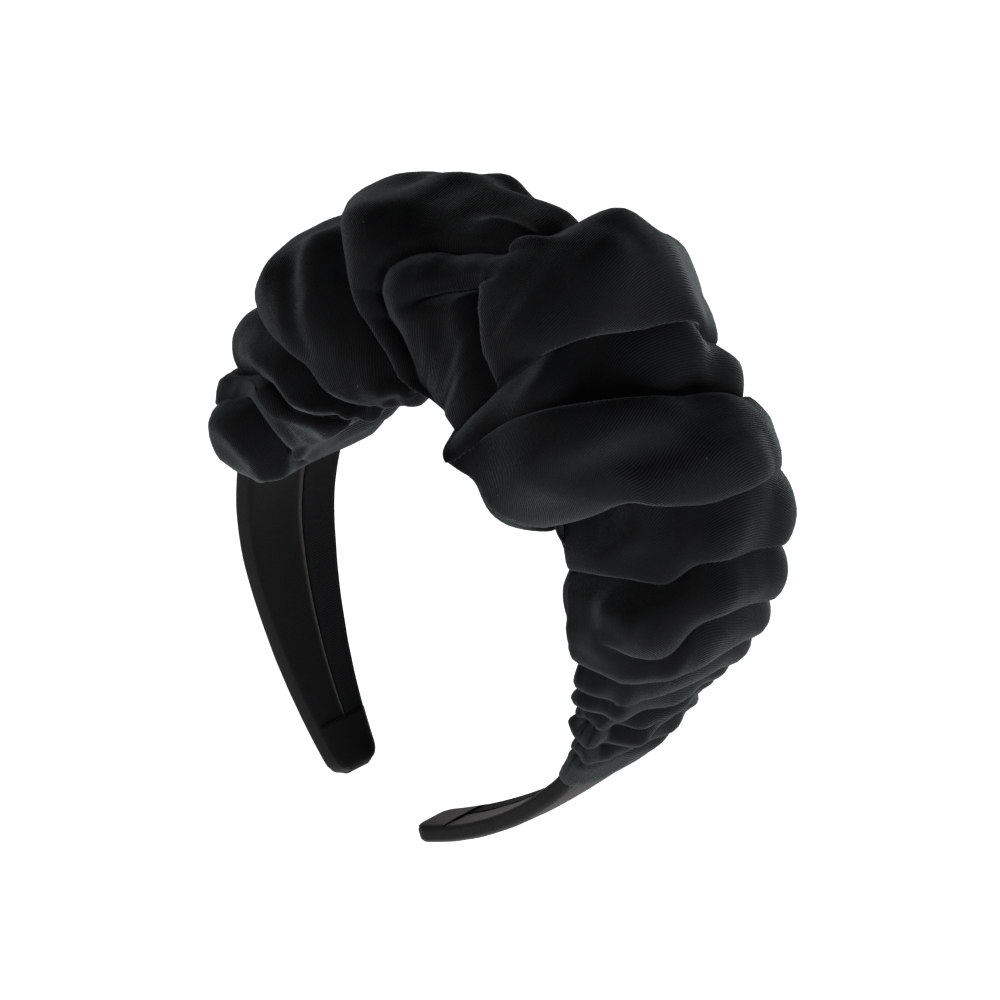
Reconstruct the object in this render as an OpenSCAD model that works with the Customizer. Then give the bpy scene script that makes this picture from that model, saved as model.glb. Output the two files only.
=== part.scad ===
// Ruched velvet headband: a sprung plastic hoop, padded, covered in velvet and lined with
// ribbed ribbon, with a wide velvet sleeve gathered over its crown.
//
// The arch stands in the XZ plane, with its front towards -Y and its tips down. The origin
// is on the sleeve's underside at the crown, where the top of the head touches it. A place
// on the band is given by three values: s, the distance along the arch from the crown
// (negative on the left), n, the height outwards from the lining's inner face, and y.
// The hoop springs open about one hinge line across the crown, so every piece that crosses
// the crown is a left and a right half.

/* [Arch] */
// Radius of the arch at the crown, mm
crown_radius = 58; // [50:1:75]
// Radius of the arch at the shoulders, mm
shoulder_radius = 69; // [58:1:85]
// Radius of the arch at the sides, mm
side_radius = 62; // [52:1:75]
// Radius of the arch at the legs, mm
leg_radius = 150; // [120:5:190]
// Angle that the crown's arc turns, each side, degrees
crown_sweep = 41; // [36:1:44]
// Angle that each shoulder's arc turns, degrees
shoulder_sweep = 37; // [32:1:40]
// Angle that each side's arc turns, degrees
side_sweep = 39; // [32:1:41]
// Angle that each leg's arc turns, degrees
leg_sweep = 24; // [18:1:26]

/* [Band] */
// Width of the hoop over the crown, mm
crown_width = 42; // [34:1:50]
// Width of the hoop where the sleeve ends, mm
hem_width = 29; // [24:1:34]
// Width of the hoop at its tips, mm
tip_width = 13; // [11:0.5:18]
// Distance from the crown to where the band starts to narrow, mm
taper_start = 66; // [50:1:80]
// Distance from the crown to where the band has its hem width, mm
taper_knee = 132; // [115:1:150]
// Radius of the corners at each tip, mm
tip_corner = 4; // [2:0.5:5]

/* [Layers] */
// Thickness of the ribbed lining, mm
lining_t = 0.5; // [0.4:0.1:1]
// Thickness of the plastic hoop, mm
core_t = 1.6; // [1.2:0.1:2.5]
// Thickness of the foam strip on the hoop, mm
foam_t = 1; // [0.6:0.1:3]
// Thickness of the velvet, mm
velvet_t = 0.6; // [0.4:0.1:1]
// Distance from the band's middle to the cover's lapped edge over the crown, mm
lap_at_crown = 5; // [2:0.5:8]
// Distance from the band's middle to the cover's lapped edge at the tips, mm
lap_at_tip = 0.5; // [0:0.5:3]
// Length of the velvet tab that closes each tip, mm
tab_length = 14; // [9:1:20]

/* [Sleeve] */
// Distance from the crown to the sleeve's left hem, mm
left_hem = 102; // [90:1:112]
// Distance from the crown to the sleeve's right hem, mm
right_hem = 120; // [112:1:130]
// Height of the puffs over the crown, mm
puff_height = 46; // [34:1:54]
// Overhang of the fullest puff in front of the band, mm
puff_front = 20; // [12:1:26]
// Overhang of the fullest puff behind the band, mm
puff_back = 17; // [10:1:24]
// Thickness of the folded cloth round the wadding, mm
folded_cloth_t = 1.5; // [1:0.1:2.5]
// Distance from the lining's inner face to the sleeve's underside, mm
underside_t = 2; // [1.6:0.1:3]
// Length of the flat, gathered cloth at each hem, mm
hem_length = 7; // [5:0.5:10]
// Thickness of the elastic gathering cord in each hem, mm
cord_t = 1; // [0.8:0.1:1.4]
// Distance from each hem's edge to its gathering cord, mm
cord_inset = 2.4; // [1.8:0.1:3]

/* [Stitches] */
// Number of tack stitches that hold each hem
tack_count = 3; // [2:1:5]
// Length of each tack stitch past the hem, mm
tack_length = 2; // [1:0.5:4]
// Thickness of the tacking thread, mm
tack_t = 0.5; // [0.3:0.1:0.8]
// Distance from one tack stitch to the next, mm
tack_pitch = 6; // [4:0.5:7]

/* [Flex] */
// Largest angle by which the arch springs open, degrees
flex_range = 30; // [10:1:36]
// Gap between the left and right halves, mm
flex_gap = 0.4; // [0.3:0.05:0.8]

/* [Hidden] */

LEFT = -1;
RIGHT = 1;

// Heights of the layers above the lining's inner face
core_n = lining_t;
foam_n = core_n + core_t;
outer_n = foam_n + foam_t;
cover_n = outer_n + velvet_t;

// The four arcs of one side, and where each starts: [s, angle, x, z]
arcs = [
    [crown_radius, crown_sweep],
    [shoulder_radius, shoulder_sweep],
    [side_radius, side_sweep],
    [leg_radius, leg_sweep]
];
function arc_length(i) = arcs[i][0] * arcs[i][1] * PI / 180;
function arc_start(i) =
    i == 0 ? [0, 0, 0, 0] :
    let (p = arc_start(i - 1), r = arcs[i - 1][0], a = p[1] + arcs[i - 1][1])
    [p[0] + arc_length(i - 1), a, p[2] + r * (sin(a) - sin(p[1])), p[3] + r * (cos(a) - cos(p[1]))];
starts = [for (i = [0:len(arcs) - 1]) arc_start(i)];
leg_end = starts[3][0] + arc_length(3);

// A point of the arch's own plane, as [x, z]
function arc_of(a) = a < starts[1][0] ? 0 : a < starts[2][0] ? 1 : a < starts[3][0] ? 2 : 3;
function angle_at(a) = let (i = arc_of(a)) starts[i][1] + (a - starts[i][0]) / arcs[i][0] * 180 / PI;
function side_of(s) = s < 0 ? -1 : 1;
function along(s, n) =
    let (a = abs(s), i = arc_of(a), b = starts[i], r = arcs[i][0], t = angle_at(a))
    [side_of(s) * (b[2] - r * sin(b[1]) + (r + n) * sin(t)), b[3] - r * cos(b[1]) + (r + n) * cos(t) + underside_t];

// Every layer is cut at the same places along the arch, so that their faces meet
station_count = 64;
station_step = leg_end / station_count;
function snap(s) = round(s / station_step) * station_step;
function stations(s0, s1) =
    let (i0 = floor(s0 / station_step) + 1, i1 = ceil(s1 / station_step) - 1)
    concat([s0], [for (i = [i0:1:i1]) i * station_step], [s1]);

// A strip of the band from s0 to s1, n0 to n1 and y0 to y1
module strip(s0, s1, n0, n1, y0, y1) {
    steps = stations(s0, s1);
    last = len(steps) - 1;
    outline = concat(
        [for (i = [0:last]) along(steps[i], n1)],
        [for (i = [last:-1:0]) along(steps[i], n0)]
    );
    translate([0, y1, 0]) rotate([90, 0, 0]) linear_extrude(y1 - y0) polygon(outline);
}

// The band's outline seen along X: its half width, plus a margin, against its height
outline_top = 60;
tip_z = along(leg_end, outer_n)[1];
function z_at(s) = along(s, 0)[1];
function corner(side, margin) =
    let (r = tip_corner, w = tip_width / 2 + margin, z = tip_z - margin)
    [for (a = [0:15:90]) [side * (w - r + r * cos(a)), z + r - r * sin(a)]];
module taper(margin) {
    wide = crown_width / 2 + margin;
    knee = hem_width / 2 + margin;
    right_edge = concat([[wide, outline_top], [wide, z_at(taper_start)], [knee, z_at(taper_knee)]], corner(1, margin));
    left_edge = [for (i = [len(right_edge) - 1:-1:0]) [-right_edge[i][0], right_edge[i][1]]];
    rotate([90, 0, 90]) linear_extrude(400, center = true) polygon(concat(right_edge, left_edge));
}

// A layer of the whole band, as wide as the hoop plus a margin each side
module layer(s0, s1, n0, n1, margin) {
    intersection() {
        strip(s0, s1, n0, n1, -crown_width, crown_width);
        taper(margin);
    }
}

// One half of the arch. Above the hinge line the cut leans back, so that the halves
// only close up as the arch springs open, and never meet
hinge_z = foam_n + underside_t;
half_reach = 150;
half_top = 70;
half_bottom = -200;
module half(side) {
    lean = (half_top - hinge_z) * tan(flex_range / 2);
    outline = [
        [flex_gap / 2, half_bottom], [flex_gap / 2, hinge_z], [flex_gap / 2 + lean, half_top],
        [half_reach, half_top], [half_reach, half_bottom]
    ];
    mirror([side < 0 ? 1 : 0, 0, 0]) rotate([90, 0, 0]) linear_extrude(200, center = true) polygon(outline);
}
module half_layer(side, n0, n1, margin) {
    intersection() {
        layer(-leg_end, leg_end, n0, n1, margin);
        half(side);
    }
}

// The moulded plastic hoop
module core(side) {
    color("dimgray") half_layer(side, core_n, foam_n, 0);
}

// The thin foam strip glued on the hoop's outside
module foam(side) {
    color("gainsboro") half_layer(side, foam_n, outer_n, 0);
}

// The ribbed ribbon that lines the hoop's inside
module lining(side) {
    color([0.16, 0.17, 0.18]) half_layer(side, 0, core_n, 0);
}

// The space behind the lapped edge, where the lining shows
module lining_window() {
    window_n = velvet_t + 1;
    far = crown_width;
    outline = [
        [lap_at_crown, outline_top], [lap_at_crown, z_at(taper_start)], [lap_at_tip, tip_z - window_n],
        [far, tip_z - window_n], [far, outline_top]
    ];
    intersection() {
        strip(-leg_end, leg_end, -window_n, 0, 0, crown_width);
        rotate([90, 0, 90]) linear_extrude(400, center = true) polygon(outline);
    }
}

// The velvet strip wrapped round the padded hoop and lapped over its inside
module cover(side) {
    color([0.09, 0.1, 0.11]) difference() {
        intersection() {
            difference() {
                layer(-leg_end, leg_end, -velvet_t, cover_n, velvet_t);
                layer(-leg_end - 1, leg_end + 1, 0, outer_n, 0);
            }
            half(side);
        }
        lining_window();
    }
}

// The velvet tab folded over the end of the band and onto its inside
module tip_tab(side) {
    start = snap(leg_end - tab_length);
    stop = leg_end + velvet_t;
    color([0.08, 0.09, 0.1]) mirror([side < 0 ? 1 : 0, 0, 0]) union() {
        layer(start, stop, -2 * velvet_t, -velvet_t, velvet_t);
        layer(leg_end, stop, -velvet_t, cover_n, velvet_t);
    }
}

// The sleeve's fullness from hem to hem: [s, height, front overhang, back overhang]
hem_rise = cord_t + 2.2;
hem_spread = cord_t + 2.6;
left_run = left_hem - hem_length;
right_run = right_hem - hem_length;
fullness = [
    [-left_hem, hem_rise, hem_spread, hem_spread],
    [-left_run, hem_rise + 2, hem_spread + 1, hem_spread + 0.5],
    [-0.87 * left_run, 0.3 * puff_height, 0.55 * puff_front, 0.35 * puff_back],
    [-0.68 * left_run, 0.5 * puff_height, 0.5 * puff_front, 0.5 * puff_back],
    [-0.5 * left_run, 0.7 * puff_height, 0.5 * puff_front, 0.65 * puff_back],
    [-0.35 * left_run, 0.84 * puff_height, 0.5 * puff_front, 0.7 * puff_back],
    [-0.16 * left_run, 0.86 * puff_height, 0.45 * puff_front, 0.65 * puff_back],
    [0, 0.96 * puff_height, 0.5 * puff_front, 0.85 * puff_back],
    [0.13 * right_run, puff_height, 0.75 * puff_front, puff_back],
    [0.25 * right_run, 0.94 * puff_height, 0.9 * puff_front, 0.9 * puff_back],
    [0.4 * right_run, 0.9 * puff_height, 0.35 * puff_front, 0.8 * puff_back],
    [0.58 * right_run, 0.74 * puff_height, 0.5 * puff_front, 0.6 * puff_back],
    [0.76 * right_run, 0.4 * puff_height, 0.35 * puff_front, 0.35 * puff_back],
    [0.9 * right_run, 0.2 * puff_height, 0.22 * puff_front, 0.25 * puff_back],
    [right_run, hem_rise + 1, hem_spread + 1, hem_spread + 0.5],
    [right_hem, hem_rise, hem_spread, hem_spread]
];
function fullness_at(s, column) = lookup(s, [for (row = fullness) [row[0], row[column]]]);
function band_half_width(s) = lookup(abs(s), [
    [0, crown_width / 2], [taper_start, crown_width / 2],
    [taper_knee, hem_width / 2], [leg_end, tip_width / 2]
]);

// One ring of the sleeve at s, shrunk by inset: a tall rounded top and a flat underside
ring_points = 24;
waist_n = 1.5;
roundness = 0.8;
flatness = 0.3;
function powered(v, e) = sign(v) * pow(abs(v), e);
function sleeve_ring(s, inset) =
    let (
        w = band_half_width(s) + velvet_t,
        y0 = -w - fullness_at(s, 2) + inset,
        y1 = w + fullness_at(s, 3) - inset,
        top = cover_n + fullness_at(s, 1) - inset - waist_n,
        under = inset > 0 ? waist_n - core_n : waist_n + underside_t
    )
    [for (k = [0:ring_points - 1])
        let (
            a = 360 * k / ring_points,
            e = sin(a) >= 0 ? roundness : flatness,
            y = (y0 + y1) / 2 + (y1 - y0) / 2 * powered(cos(a), e),
            n = waist_n + (sin(a) >= 0 ? top : under) * powered(sin(a), e),
            p = along(s, n)
        )
        [p[0], y, p[1]]
    ];

// A closed loft through the sleeve's rings, from s0 to s1
ring_pitch = 7;
module sleeve_loft(s0, s1, inset) {
    steps = ceil((s1 - s0) / ring_pitch);
    rings = [for (i = [0:steps]) sleeve_ring(s0 + (s1 - s0) * i / steps, inset)];
    points = [for (ring = rings) each ring];
    m = ring_points;
    sides = [for (i = [0:steps - 1], k = [0:m - 1])
        let (a = i * m + k, b = i * m + (k + 1) % m)
        each [[a, b + m, b], [a, a + m, b + m]]];
    first_end = [for (k = [0:m - 1]) k];
    last_end = [for (k = [m - 1:-1:0]) steps * m + k];
    polyhedron(points, concat(sides, [first_end, last_end]), convexity = 6);
}
module wadding_space() {
    sleeve_loft(-left_run, right_run, folded_cloth_t);
}
module band_channel() {
    layer(-leg_end, leg_end, -velvet_t, cover_n, velvet_t);
}

// The elastic cord drawn tight in a hem
function hem_at(side) = snap(side < 0 ? left_hem : right_hem);
module gather_ring(side) {
    stop = hem_at(side) - cord_inset;
    start = stop - cord_t;
    mirror([side < 0 ? 1 : 0, 0, 0]) difference() {
        layer(start, stop, -velvet_t - cord_t / 2, cover_n + cord_t, velvet_t + cord_t);
        band_channel();
    }
}
module gather_cord(side) {
    color([0.05, 0.05, 0.05]) gather_ring(side);
}

// The polyester wadding that holds the puffs up
module wadding(side) {
    color("whitesmoke") intersection() {
        difference() {
            wadding_space();
            band_channel();
        }
        half(side);
    }
}

// The ruched velvet sleeve
module sleeve(side) {
    color([0.1, 0.11, 0.12]) intersection() {
        difference() {
            sleeve_loft(-hem_at(LEFT), hem_at(RIGHT), 0);
            wadding_space();
            band_channel();
            gather_ring(LEFT);
            gather_ring(RIGHT);
        }
        half(side);
    }
}

// The short stitches that tack a hem to the cover, inside the arch
module tack_stitches(side) {
    start = hem_at(side);
    row = tack_pitch * (tack_count - 1) / 2;
    shift = lap_at_crown - row - tack_pitch;
    color([0.3, 0.3, 0.31]) mirror([side < 0 ? 1 : 0, 0, 0]) for (i = [0:tack_count - 1]) {
        y = shift - row + i * tack_pitch;
        strip(start, start + tack_length, -velvet_t - tack_t, -velvet_t, y - tack_t / 2, y + tack_t / 2);
    }
}

core(LEFT);  // core_left
core(RIGHT);  // core_right
foam(LEFT);  // foam_left
foam(RIGHT);  // foam_right
cover(LEFT);  // cover_left
cover(RIGHT);  // cover_right
lining(LEFT);  // lining_left
lining(RIGHT);  // lining_right
tip_tab(LEFT);  // tip_tab_left
tip_tab(RIGHT);  // tip_tab_right
wadding(LEFT);  // wadding_left
wadding(RIGHT);  // wadding_right
sleeve(LEFT);  // sleeve_left
sleeve(RIGHT);  // sleeve_right
gather_cord(LEFT);  // gather_cord_left
gather_cord(RIGHT);  // gather_cord_right
tack_stitches(LEFT);  // tack_stitches_left
tack_stitches(RIGHT);  // tack_stitches_right
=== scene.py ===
"""Looks of a ruched velvet headband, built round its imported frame."""

import logging
import math
from dataclasses import dataclass
from enum import Enum
from typing import Sequence

import bmesh
import bpy
import numpy as np
from mathutils import Matrix, Vector, noise


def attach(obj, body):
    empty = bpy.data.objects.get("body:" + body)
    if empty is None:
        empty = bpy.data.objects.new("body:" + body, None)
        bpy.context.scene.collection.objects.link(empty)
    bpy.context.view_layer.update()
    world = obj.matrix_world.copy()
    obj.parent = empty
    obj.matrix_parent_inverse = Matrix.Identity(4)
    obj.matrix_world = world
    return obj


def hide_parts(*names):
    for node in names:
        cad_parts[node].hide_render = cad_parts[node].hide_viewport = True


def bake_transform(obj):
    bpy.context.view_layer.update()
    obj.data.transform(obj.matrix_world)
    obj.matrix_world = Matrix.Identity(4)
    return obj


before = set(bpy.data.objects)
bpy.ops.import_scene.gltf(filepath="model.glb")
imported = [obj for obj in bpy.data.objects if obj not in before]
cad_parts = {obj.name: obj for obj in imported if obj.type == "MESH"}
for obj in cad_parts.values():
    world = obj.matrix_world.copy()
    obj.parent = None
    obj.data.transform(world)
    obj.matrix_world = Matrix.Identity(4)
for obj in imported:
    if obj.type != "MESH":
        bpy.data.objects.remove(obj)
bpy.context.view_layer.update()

log = logging.getLogger("headband")
MM = 0.001
SAME_PLACE = 1e-7  # points nearer than this, in m, are one point
Table = Sequence[tuple[float, ...]]
Triple = tuple[float, float, float]
Array = np.ndarray
Piece = bpy.types.Object
Material = bpy.types.Material
Socket = bpy.types.NodeSocket


class Body(Enum):
    """The two CAD bodies, one each side of the flex line."""

    LEFT = "left_half"
    RIGHT = "right_half"


LEFT, RIGHT = -1, 1
SIDES = ((LEFT, Body.LEFT, "left"), (RIGHT, Body.RIGHT, "right"))


class Slot(Enum):
    """The record's material slots that the pieces made here are in."""

    HOOP = "hoop_plastic"
    FOAM = "foam"
    BAND = "band_velvet"
    LINING = "lining_ribbon"
    SLEEVE = "sleeve_velvet"


def smooth_line(x: Array, xs: Sequence[float], ys: Sequence[float]) -> Array:
    """A smooth curve through given points.

    Args:
        x: where it is wanted.
        xs: the points' places, rising.
        ys: the points' values.

    Returns:
        The curve's values at x.
    """
    px, py = np.asarray(xs, float), np.asarray(ys, float)
    slope = np.gradient(py, px)
    i = np.clip(np.searchsorted(px, x) - 1, 0, len(px) - 2)
    h = px[i + 1] - px[i]
    t = np.clip((x - px[i]) / h, 0, 1)
    return (
        (2 * t**3 - 3 * t**2 + 1) * py[i]
        + (t**3 - 2 * t**2 + t) * h * slope[i]
        + (3 * t**2 - 2 * t**3) * py[i + 1]
        + (t**3 - t**2) * h * slope[i + 1]
    )


def round_line(v: Array, points: Table) -> Array:
    """A smooth curve through (angle, value) points that joins up after a full turn."""
    xs = [p[0] + turn for turn in (-360, 0, 360) for p in points]
    ys = [p[1] for _ in range(3) for p in points]
    return smooth_line(v, xs, ys)


def eased(x: Array, start: float, end: float) -> Array:
    """0 before start and 1 after end, with a smooth step between."""
    t = np.clip((x - start) / (end - start), 0, 1)
    return t * t * (3 - 2 * t)


@dataclass(frozen=True)
class Arch:
    """The arch's shape, in mm and degrees, as in the part's source."""

    arcs: tuple[tuple[float, float], ...] = ((58, 41), (69, 37), (62, 39), (150, 24))
    lift: float = 2.0
    crown_width: float = 42
    hem_width: float = 29
    tip_width: float = 13
    taper_start: float = 66
    taper_knee: float = 132
    tip_corner: float = 4

    def starts(self) -> list[tuple[float, float, float, float]]:
        """Where each arc starts, as (s, angle, x, z)."""
        rows = [(0.0, 0.0, 0.0, 0.0)]
        for radius, sweep in self.arcs:
            s, a, x, z = rows[-1]
            b = a + math.radians(sweep)
            rows.append((
                s + radius * (b - a), b,
                x + radius * (math.sin(b) - math.sin(a)),
                z + radius * (math.cos(b) - math.cos(a)),
            ))
        return rows

    @property
    def leg_end(self) -> float:
        """Length of one side, from the crown to its tip."""
        return self.starts()[-1][0]

    def along(self, s: Array, n: Array) -> tuple[Array, Array]:
        """A place in the arch's own plane.

        Args:
            s: distance along the arch from the crown, negative on the left.
            n: height outwards from the lining's inner face.

        Returns:
            The x and z of each place.
        """
        rows = self.starts()
        a = np.abs(s)
        i = np.searchsorted([r[0] for r in rows], a, side="right") - 1
        i = np.clip(i, 0, len(self.arcs) - 1)
        s0, t0, x0, z0 = (np.array([r[c] for r in rows])[i] for c in range(4))
        radius = np.array([r for r, _ in self.arcs])[i]
        t = t0 + (a - s0) / radius
        x = x0 - radius * np.sin(t0) + (radius + n) * np.sin(t)
        z = z0 - radius * np.cos(t0) + (radius + n) * np.cos(t) + self.lift
        return np.where(np.asarray(s) < 0, -x, x), z

    def half_width(self, s: Array) -> Array:
        """The hoop's half width at s."""
        places = [0, self.taper_start, self.taper_knee, self.leg_end]
        widths = [self.crown_width, self.crown_width, self.hem_width, self.tip_width]
        return np.interp(np.abs(s), places, [width / 2 for width in widths])

    def place(self, s: Array, y: Array, n: Array) -> Array:
        """Points in the shared frame, in mm, from s, y and n."""
        x, z = self.along(s, n)
        return np.stack([x, y, z], -1)


@dataclass(frozen=True)
class Layers:
    """Heights of the band's layers above the lining's inner face, in mm."""

    lining: float = 0.5
    core: float = 1.6
    foam: float = 1.0
    velvet: float = 0.6

    @property
    def outer(self) -> float:
        """Top of the foam."""
        return self.lining + self.core + self.foam

    @property
    def cover(self) -> float:
        """Top of the velvet cover."""
        return self.outer + self.velvet


ARCH = Arch()
LAYERS = Layers()
ARCH_MIDDLE = np.array([0.0, 0.0, -0.06])


# Finishes


@dataclass(frozen=True)
class Graph:
    """A short way to wire up one material's nodes."""

    material: Material

    def node(
        self, kind: str, inputs: dict[str | int, object] | None = None, **settings: object
    ) -> bpy.types.Node:
        """Adds a node.

        Args:
            kind: the node's type name, without ShaderNode.
            inputs: values, or other nodes' sockets, by input name or number.
            settings: the node's own properties.

        Returns:
            The new node.
        """
        made = self.material.node_tree.nodes.new("ShaderNode" + kind)
        for name, value in settings.items():
            setattr(made, name, value)
        for name, value in (inputs or {}).items():
            if isinstance(value, Socket):
                self.material.node_tree.links.new(value, made.inputs[name])
            else:
                made.inputs[name].default_value = value
        return made

    def math(self, operation: str, a: object, b: object = 0.0) -> Socket:
        """One sum of two values or sockets."""
        return self.node("Math", {0: a, 1: b}, operation=operation).outputs[0]

    def ramp(self, value: Socket, low: float, high: float, to_low: float, to_high: float) -> Socket:
        """Carries the range from low to high over to another range."""
        names = "Value", "From Min", "From Max", "To Min", "To Max"
        inputs = dict(zip(names, (value, low, high, to_low, to_high)))
        return self.node("MapRange", inputs).outputs[0]

    def noise(self, place: Socket, scale: float, detail: float) -> Socket:
        """Cloudy noise from 0 to 1."""
        return self.node("TexNoise", {"Vector": place, "Scale": scale, "Detail": detail}).outputs[0]

    def cloth(self) -> tuple[Socket, Socket]:
        """The place on the piece's flat cloth, along and across it, in mm."""
        parts = self.node("SeparateXYZ", {0: self.node("UVMap", uv_map="cloth").outputs[0]})
        return parts.outputs[0], parts.outputs[1]

    def ribs(self, along: Socket, pitch: float) -> Socket:
        """A wave from -1 to 1 that repeats every pitch, in mm."""
        return self.math("SINE", self.math("MULTIPLY", along, 2 * math.pi / pitch))

    def mix(self, share: Socket, dark: Triple, light: Triple) -> Socket:
        """A colour from dark, where share is 0, to light, where it is 1."""
        return self.node(
            "Mix", {0: share, 6: (*dark, 1), 7: (*light, 1)}, data_type="RGBA"
        ).outputs[2]

    def bump(self, height: Socket, depth: float, strength: float) -> Socket:
        """Fine relief of the given depth, in mm."""
        inputs = {"Height": height, "Distance": depth * MM, "Strength": strength}
        return self.node("Bump", inputs).outputs[0]

    def finish(self, **inputs: object) -> Material:
        """The finished material. The shader's inputs are given by name, with _ for a space."""
        named = {name.replace("_", " "): value for name, value in inputs.items()}
        shader = self.node("BsdfPrincipled", named)
        self.node("OutputMaterial", {"Surface": shader.outputs[0]})
        return self.material


def new_material(name: str) -> Graph:
    """The graph of a new, empty material."""
    material = bpy.data.materials.new(name)
    material.use_nodes = True
    material.node_tree.nodes.clear()
    return Graph(material)


@dataclass(frozen=True)
class Velvet:
    """Ribbed velvet: a near-black pile whose edges catch the light. Lengths are in mm."""

    name: str
    dark: Triple = (0.0024, 0.0027, 0.003)
    light: Triple = (0.0056, 0.0061, 0.0066)
    sheen: float = 0.2
    sheen_roughness: float = 0.33
    tint: Triple = (0.88, 0.97, 1.0)
    rib_pitch: float = 0.75
    rib_depth: float = 0.12
    rib_wander: float = 0.35
    roughness: float = 0.75
    specular: float = 0.08

    def build(self) -> Material:
        """The finished material. It reads the piece's own cloth map, in mm."""
        g = new_material(self.name)
        along, _ = g.cloth()
        place = g.node("TexCoord").outputs["Object"]
        wander = g.math("MULTIPLY", g.noise(place, 120.0, 2.0), self.rib_wander)
        wave = g.ribs(g.math("ADD", along, wander), self.rib_pitch)
        rib = g.ramp(wave, -1.0, 1.0, 0.0, 1.0)
        pile = g.noise(place, 2600.0, 2.0)
        patches = g.noise(place, 55.0, 3.0)
        height = g.math("ADD", g.math("MULTIPLY", rib, 0.8), pile)
        soft = g.math("ADD", g.math("MULTIPLY", patches, 0.45), g.math("MULTIPLY", pile, 0.25))
        shade = g.math("ADD", g.math("MULTIPLY", rib, 0.35), soft)
        return g.finish(
            Base_Color=g.mix(shade, self.dark, self.light),
            Normal=g.bump(height, self.rib_depth, 1.0),
            Roughness=g.ramp(pile, 0.3, 0.7, self.roughness, self.roughness + 0.2),
            Sheen_Weight=self.sheen,
            Sheen_Roughness=self.sheen_roughness,
            Sheen_Tint=(*self.tint, 1),
            Specular_IOR_Level=self.specular,
        )


@dataclass(frozen=True)
class Ribbon:
    """Grosgrain lining: dark ribbon with fine ribs across it. Lengths are in mm."""

    name: str
    dark: Triple = (0.004, 0.0043, 0.0047)
    light: Triple = (0.011, 0.0118, 0.0125)
    rib_pitch: float = 0.7
    rib_depth: float = 0.1
    thread_pitch: float = 0.45
    sheen: float = 0.02
    roughness: float = 0.9
    specular: float = 0.05

    def build(self) -> Material:
        """The finished material. It reads the piece's own cloth map, in mm."""
        g = new_material(self.name)
        along, across = g.cloth()
        place = g.node("TexCoord").outputs["Object"]
        rib = g.ramp(g.ribs(along, self.rib_pitch), -1.0, 1.0, 0.0, 1.0)
        threads = g.ribs(across, self.thread_pitch)
        grain = g.noise(place, 1800.0, 2.0)
        shade = g.math("ADD", g.math("MULTIPLY", rib, 0.55), g.math("MULTIPLY", grain, 0.45))
        height = g.math("ADD", rib, g.math("MULTIPLY", threads, 0.12))
        return g.finish(
            Base_Color=g.mix(shade, self.dark, self.light),
            Normal=g.bump(height, self.rib_depth, 0.8),
            Roughness=self.roughness,
            Sheen_Weight=self.sheen,
            Specular_IOR_Level=self.specular,
        )


@dataclass(frozen=True)
class Plain:
    """A mottled finish for fibres, cords and the parts that the velvet hides."""

    name: str
    dark: Triple
    light: Triple
    roughness: float
    grain: float
    depth: float

    def build(self) -> Material:
        """The finished material."""
        g = new_material(self.name)
        grain = g.noise(g.node("TexCoord").outputs["Object"], self.grain, 4.0)
        return g.finish(
            Base_Color=g.mix(grain, self.dark, self.light),
            Normal=g.bump(grain, self.depth, 0.6),
            Roughness=g.ramp(grain, 0.2, 0.8, self.roughness - 0.1, self.roughness + 0.1),
        )


# Cloth


def add_to_scene(name: str, data: bpy.types.ID) -> Piece:
    """A new object in the scene."""
    made = bpy.data.objects.new(name, data)
    bpy.context.scene.collection.objects.link(made)
    return made


def cloth_piece(
    name: str,
    rows: Array,
    material: Material,
    flat: tuple[Array, Array] | None = None,
    closed: bool = False,
) -> Piece:
    """A flat grid of cloth, bent into place.

    Args:
        name: the piece's name.
        rows: the points of the bent cloth in mm, as an array of rows and columns.
        material: the piece's finish.
        flat: the flat cloth's length and width at each point, in mm, if not flat_map's.
        closed: whether the last column is the first one again.

    Returns:
        The new piece.
    """
    map_u, map_v = flat or flat_map(rows)
    count_u, count_v = rows.shape[:2]
    bm = bmesh.new()
    bmesh.ops.create_grid(bm, x_segments=count_u - 1, y_segments=count_v - 1, size=1.0)
    cloth = bm.loops.layers.uv.new("cloth")
    spots = {}
    for vert in bm.verts:
        i = round((vert.co.x + 1) / 2 * (count_u - 1))
        k = round((vert.co.y + 1) / 2 * (count_v - 1))
        spots[vert] = (i, k)
    for face in bm.faces:
        face.smooth = True
        for loop in face.loops:
            spot = spots[loop.vert]
            loop[cloth].uv = (map_u[spot], map_v[spot])
    for vert, spot in spots.items():
        vert.co = Vector(rows[spot]) * MM
    if closed:
        bmesh.ops.remove_doubles(bm, verts=bm.verts, dist=SAME_PLACE)
    mesh = bpy.data.meshes.new(name)
    bm.to_mesh(mesh)
    bm.free()
    mesh.materials.append(material)
    return add_to_scene(name, mesh)


def flat_map(rows: Array, start: int = 0) -> tuple[Array, Array]:
    """How far each point of bent cloth is from one row and from the first column, in mm.

    Args:
        rows: the bent cloth's points.
        start: the row that is 0.

    Returns:
        The lengths along the rows and along the columns.
    """
    step_u = np.linalg.norm(np.diff(rows, axis=0), axis=2)
    step_v = np.linalg.norm(np.diff(rows, axis=1), axis=2)
    u = np.concatenate([np.zeros((1, rows.shape[1])), np.cumsum(step_u, axis=0)])
    v = np.concatenate([np.zeros((rows.shape[0], 1)), np.cumsum(step_v, axis=1)], axis=1)
    return u - u[start], v


def thicken(piece: Piece, thickness: float) -> None:
    """Gives bent cloth its thickness, in mm, half of it on each side."""
    solid = piece.modifiers.new("thickness", "SOLIDIFY")
    solid.thickness = thickness * MM
    solid.offset = 0.0
    solid.use_rim = True


# Sleeve


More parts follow.
